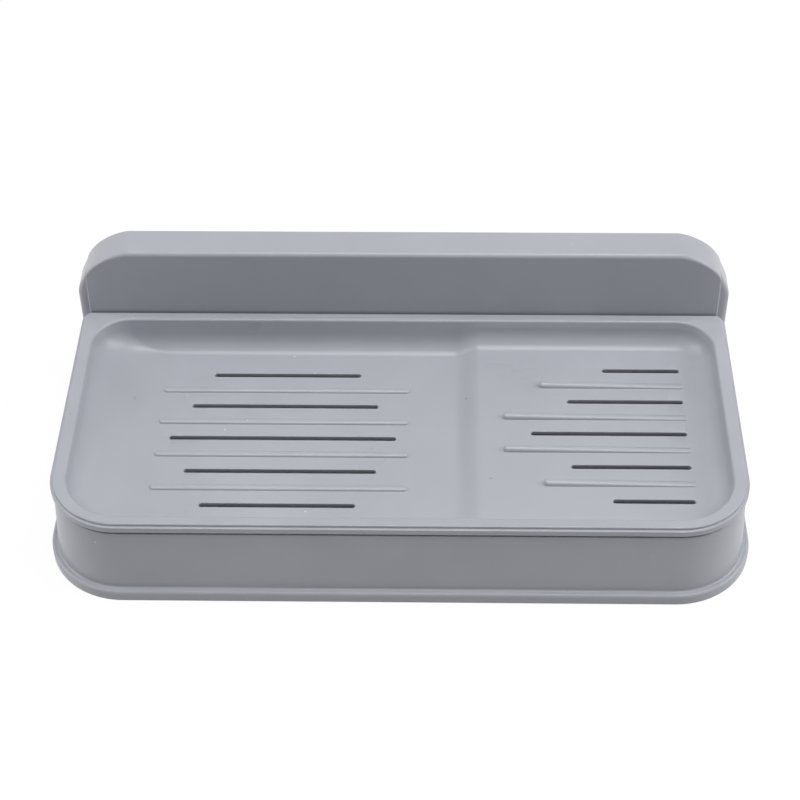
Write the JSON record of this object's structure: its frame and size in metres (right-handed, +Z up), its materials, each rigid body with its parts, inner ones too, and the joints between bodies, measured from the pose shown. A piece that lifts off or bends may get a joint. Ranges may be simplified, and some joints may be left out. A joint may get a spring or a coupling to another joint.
{
  "type": "wall-mounted soap dish",
  "caption": "Wall-mounted soap dish: a slotted, ribbed two-level drain tray lifts out of a water-catching holder that hooks over a hidden adhesive wall plate.",
  "frame": {"origin": "centre of the adhesive pad's back face, on the wall", "axes": "+Y points into the wall, +Z up, +X to the right of someone facing the wall; the dish stands out towards -Y"},
  "size_m": [0.22, 0.112, 0.056],
  "materials": {
    "grey_polypropylene": "satin, as moulded",
    "pale_abs": "satin, as moulded",
    "foam_tape": "matte closed-cell foam"
  },
  "bodies": {
    "wall_mount": {"wall_plate": "pale_abs", "adhesive_pad": "foam_tape"},
    "holder": {"holder_body": "grey_polypropylene"},
    "tray": {"drain_tray": "grey_polypropylene"}
  },
  "joints": [
    {"name": "holder_lift", "type": "slide", "parent": "wall_mount", "child": "holder", "axis": [0, 0, 1], "range_m": [0, 0.008]},
    {"name": "tray_lift", "type": "slide", "parent": "holder", "child": "tray", "axis": [0, 0, 1], "range_m": [0, 0.03]}
  ]
}
